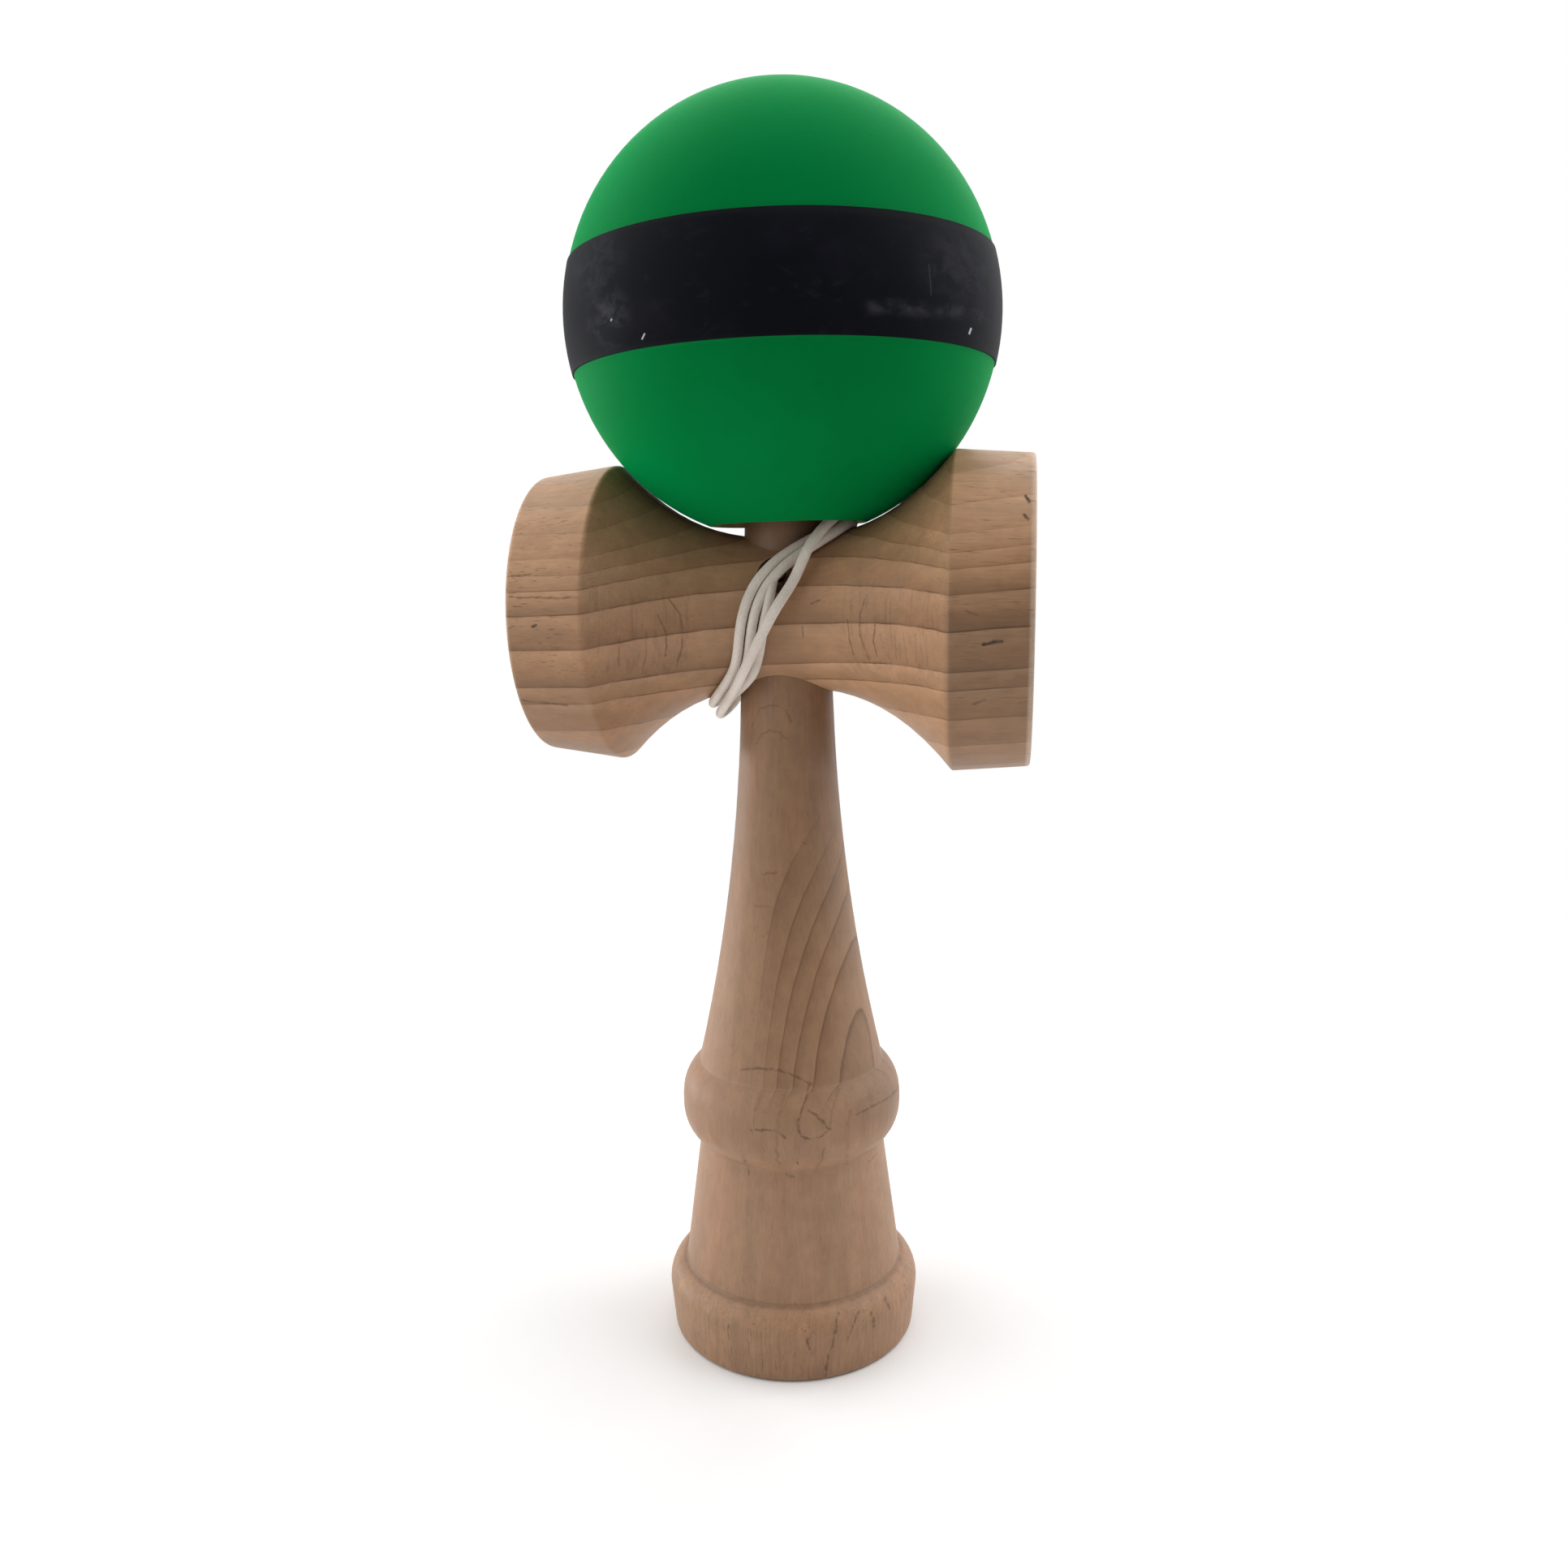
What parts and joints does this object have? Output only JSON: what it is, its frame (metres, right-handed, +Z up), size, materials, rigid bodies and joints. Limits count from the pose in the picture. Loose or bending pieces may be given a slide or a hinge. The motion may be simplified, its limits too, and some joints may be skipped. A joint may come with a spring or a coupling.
{
  "type": "kendama",
  "caption": "Wooden kendama: a bored ball sits over the handle's spike, above a crosspiece with a cup at each end and a cup in the foot, and a wound string ties the ball to the handle.",
  "frame": {"origin": "centre of the foot of the handle, on the plane it stands on", "axes": "+Z up the handle to the spike, +X along the crosspiece to the big cup, -Y to the front with the string hole"},
  "size_m": [0.07, 0.062, 0.1819],
  "materials": {
    "ken_wood": "satin",
    "cross_wood": "satin",
    "ball_paint": "satin paint",
    "band_rubber": "matte",
    "bead_wood": "matte",
    "string": "matte"
  },
  "bodies": {
    "ken": {"ken": "ken_wood", "crosspiece": "cross_wood", "ken_knot": "string", "string_lead": "string", "string_winding": "string", "string_riser": "string"},
    "tether": {"bead": "bead_wood", "ball_knot": "string", "string_tail": "string"},
    "ball": {"ball": "ball_paint", "grip_band": "band_rubber"}
  },
  "joints": [
    {"name": "ball_lift", "type": "slide", "parent": "ken", "child": "tether", "axis": [0, 0, 1], "range_m": [0, 0.045], "deforming": ["string_riser"]},
    {"name": "ball_spin", "type": "hinge", "parent": "tether", "child": "ball", "pos_m": [0, 0, 0.15038], "axis": [-0.0175, 0.0087, 0.9998], "continuous": true}
  ]
}
